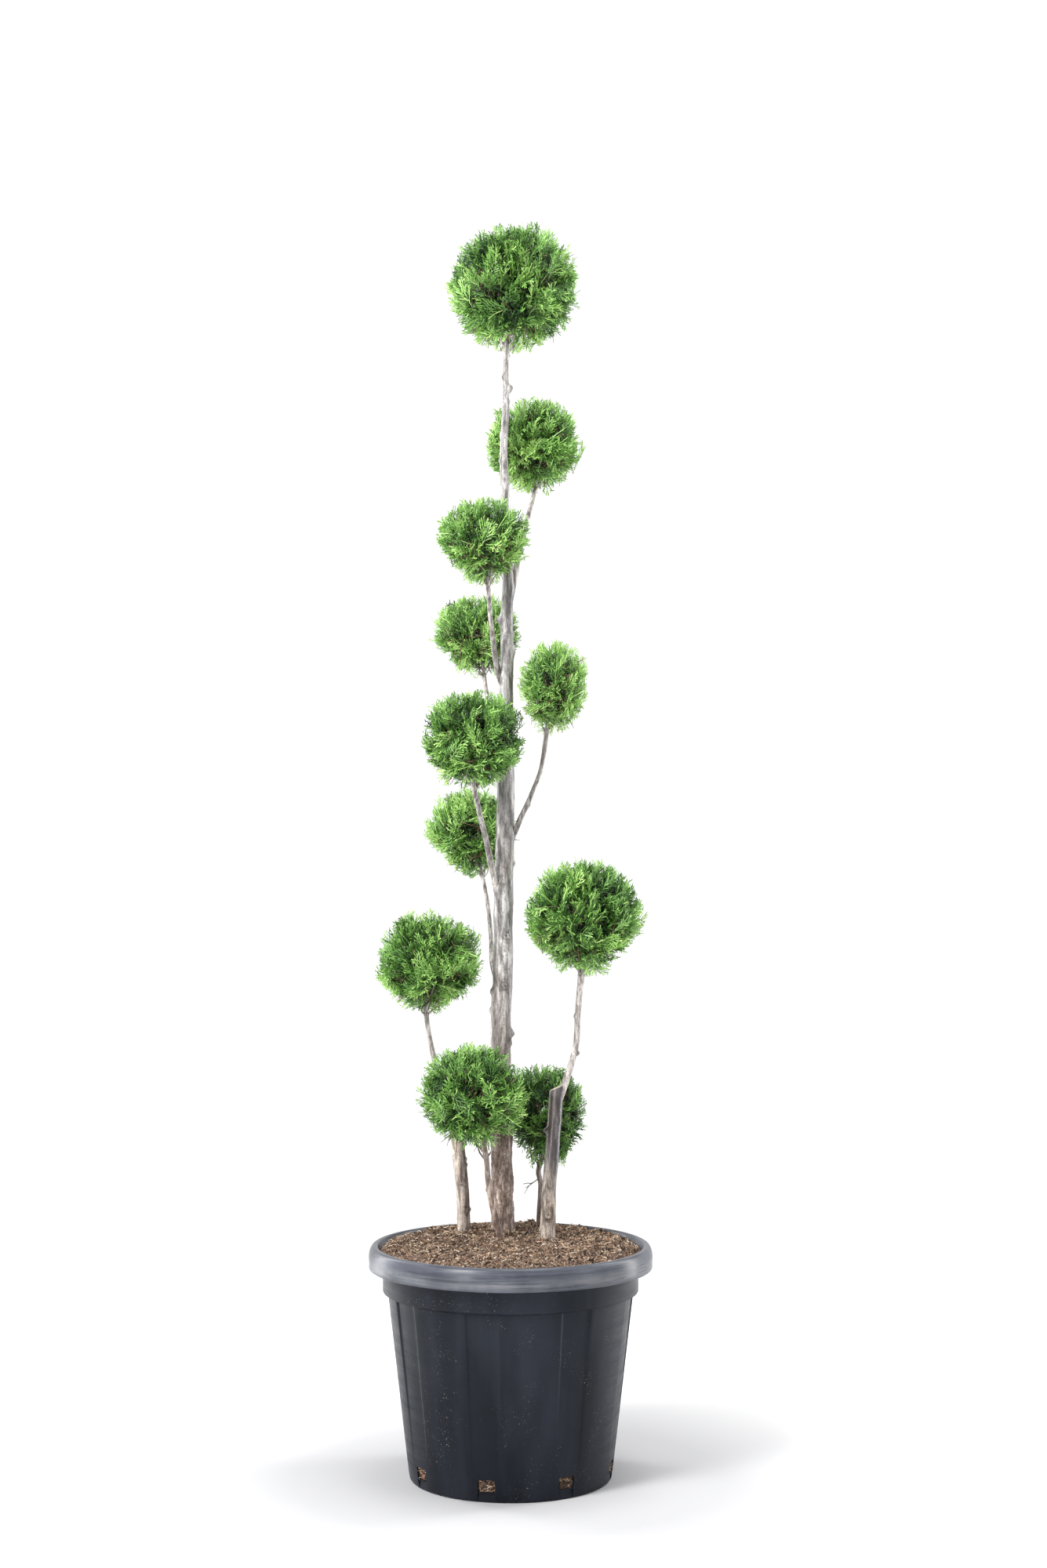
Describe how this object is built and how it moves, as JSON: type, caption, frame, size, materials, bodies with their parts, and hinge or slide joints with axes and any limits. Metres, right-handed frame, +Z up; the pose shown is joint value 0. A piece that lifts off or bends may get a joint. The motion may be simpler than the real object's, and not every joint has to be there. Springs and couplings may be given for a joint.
{
  "type": "potted pom-pom arborvitae",
  "caption": "Arborvitae clipped into round pom-poms on a bare trunk and side stems, standing in a black nursery pot filled with soil.",
  "frame": {"origin": "the middle of the pot's underside, on the surface that it stands on", "axes": "+Z up the trunk, +X to the right and +Y away from a viewer who stands in front"},
  "size_m": [0.3928, 0.3928, 1.742],
  "materials": {
    "pot": "satin, a little dusty",
    "soil": "rough peat and bark fibre",
    "bark": "rough at the foot, smooth and silvery above",
    "foliage": "fresh green scale leaves"
  },
  "bodies": {
    "root": {"pot": "pot", "soil": "soil", "trunk": "bark", "stem_left": "bark", "stem_front": "bark", "stem_right": "bark", "stem_back": "bark", "bough_left": "bark", "bough_right": "bark", "bough_low_back": "bark", "bough_low_left": "bark", "bough_mid_right": "bark", "bough_mid_back": "bark", "bough_upper_left": "bark", "bough_upper_right": "bark", "foliage_top": "foliage", "foliage_upper_right": "foliage", "foliage_upper_left": "foliage", "foliage_mid_back": "foliage", "foliage_mid_right": "foliage", "foliage_mid_left": "foliage", "foliage_low_back": "foliage", "foliage_low_right": "foliage", "foliage_low_left": "foliage", "foliage_front": "foliage", "foliage_back": "foliage"}
  },
  "joints": []
}
